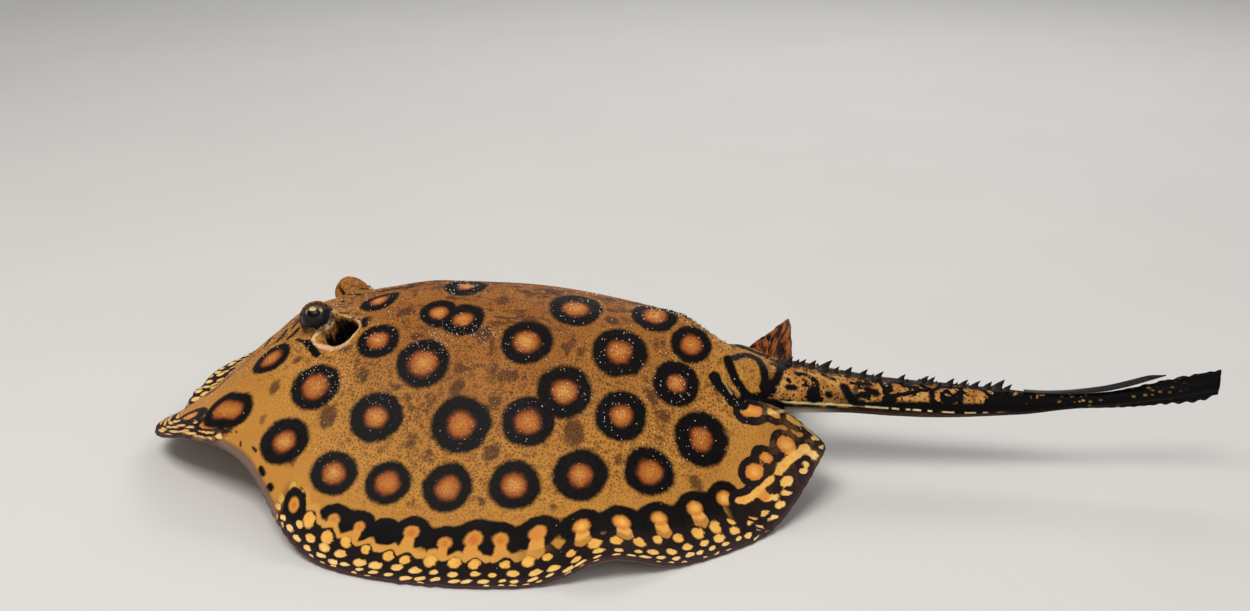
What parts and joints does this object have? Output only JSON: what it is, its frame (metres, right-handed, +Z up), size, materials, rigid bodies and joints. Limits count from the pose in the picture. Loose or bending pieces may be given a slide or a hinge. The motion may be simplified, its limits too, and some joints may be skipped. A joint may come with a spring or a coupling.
{
  "type": "freshwater stingray",
  "caption": "Still, life-size model of an ocellated freshwater stingray resting on the edges of its tented disc, for display.",
  "frame": {"origin": "middle of the bounding box's footprint, at floor level", "axes": "+X from the head to the tip of the tail, the animal's left side toward -Y, +Z up from the floor"},
  "size_m": [0.3818, 0.2178, 0.0595],
  "materials": {
    "skin_back": "wet, slightly glossy skin over the back",
    "skin_head": "wet, slightly glossy skin of the head",
    "skin_margin": "wet skin, dark net with yellow spots along the edge",
    "skin_tail": "wet skin, tan with black blotches",
    "skin_tail_dark": "nearly black skin of the tail's end",
    "eye_dark": "clear glossy cornea over a dark iris",
    "sting_dark": "smooth dark dentine"
  },
  "bodies": {
    "root": {"eye_left": "eye_dark", "eye_right": "eye_dark", "head": "skin_head", "pectoral_fin_left_front": "skin_margin", "pectoral_fin_left_rear": "skin_margin", "pectoral_fin_right_front": "skin_margin", "pectoral_fin_right_rear": "skin_margin", "pelvic_fin_left": "skin_back", "pelvic_fin_right": "skin_back", "sting": "sting_dark", "tail_base": "skin_tail", "tail_end": "skin_tail_dark", "tail_middle": "skin_tail", "trunk": "skin_back"}
  },
  "joints": []
}
